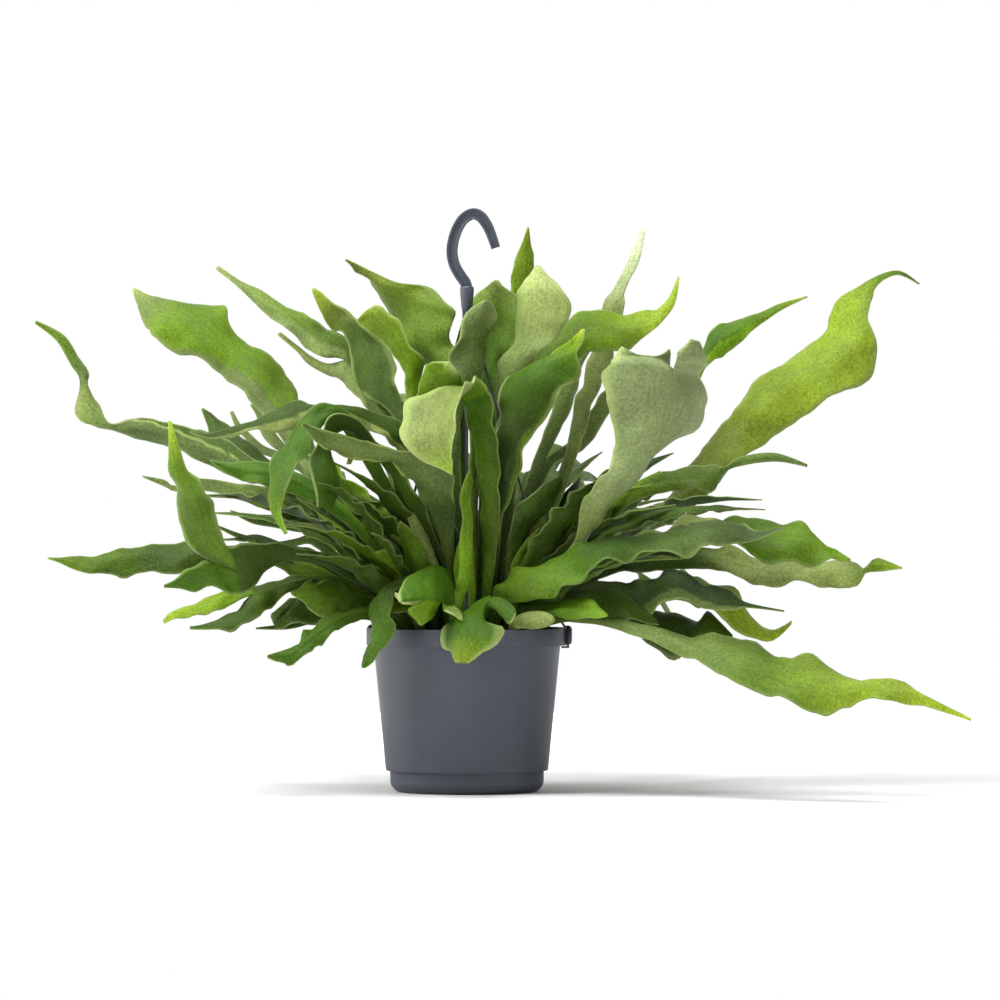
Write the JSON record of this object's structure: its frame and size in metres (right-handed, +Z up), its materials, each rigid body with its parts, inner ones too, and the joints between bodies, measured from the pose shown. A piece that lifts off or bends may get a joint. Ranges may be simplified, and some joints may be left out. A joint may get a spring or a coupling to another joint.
{
  "type": "staghorn fern in hanging pot",
  "caption": "Staghorn fern with long forked, arching fronds in a grey plastic hanging pot, with a drip saucer clicked in below and a hook on four thin legs.",
  "frame": {"origin": "the bearing point of the hook, under the top of its throat", "axes": "+Z up, +X to the right of the side that the front fronds lean out from, +Y to the back"},
  "size_m": [0.6429, 0.4642, 0.4058],
  "materials": {
    "pot_plastic": "matt, faintly dusty",
    "hanger_plastic": "satin",
    "soil": "coarse, moist moss and bark",
    "frond_bright": "soft, finely felted",
    "frond_mid": "soft, finely felted",
    "frond_dark": "soft, finely felted",
    "frond_blue": "soft, finely felted",
    "frond_grey": "soft, finely felted",
    "frond_pale": "soft, finely felted"
  },
  "bodies": {
    "root": {"pot": "pot_plastic", "saucer": "pot_plastic", "soil": "soil", "hanger_hook": "hanger_plastic", "hanger_leg_right": "hanger_plastic", "hanger_leg_back": "hanger_plastic", "hanger_leg_left": "hanger_plastic", "hanger_leg_front": "hanger_plastic", "frond_left_01": "frond_dark", "frond_left_02": "frond_bright", "frond_left_03": "frond_mid", "frond_left_04": "frond_mid", "frond_left_05": "frond_mid", "frond_centre_01": "frond_grey", "frond_left_06": "frond_grey", "frond_left_07": "frond_mid", "frond_left_08": "frond_bright", "frond_left_09": "frond_bright", "frond_left_10": "frond_pale", "frond_left_11": "frond_dark", "frond_left_12": "frond_grey", "frond_left_13": "frond_pale", "frond_left_14": "frond_mid", "frond_left_15": "frond_dark", "frond_left_16": "frond_dark", "frond_left_17": "frond_bright", "frond_left_18": "frond_dark", "frond_left_19": "frond_bright", "frond_left_20": "frond_mid", "frond_front_01": "frond_mid", "frond_front_02": "frond_bright", "frond_front_03": "frond_mid", "frond_right_01": "frond_bright", "frond_right_02": "frond_bright", "frond_right_03": "frond_dark", "frond_right_04": "frond_mid", "frond_right_05": "frond_blue", "frond_right_06": "frond_bright", "frond_right_07": "frond_bright", "frond_right_08": "frond_bright", "frond_right_09": "frond_dark", "frond_right_10": "frond_grey", "frond_right_11": "frond_bright", "frond_right_12": "frond_grey", "frond_top_01": "frond_pale", "frond_top_02": "frond_mid", "frond_top_03": "frond_dark", "frond_top_04": "frond_mid", "frond_top_05": "frond_mid", "frond_top_06": "frond_bright", "frond_centre_02": "frond_mid", "shield_frond_left": "frond_bright", "shield_frond_right": "frond_bright", "frond_back_01": "frond_mid", "frond_back_02": "frond_bright", "frond_back_03": "frond_dark", "frond_back_04": "frond_mid", "frond_back_05": "frond_bright", "frond_back_06": "frond_mid", "frond_back_07": "frond_grey"}
  },
  "joints": []
}
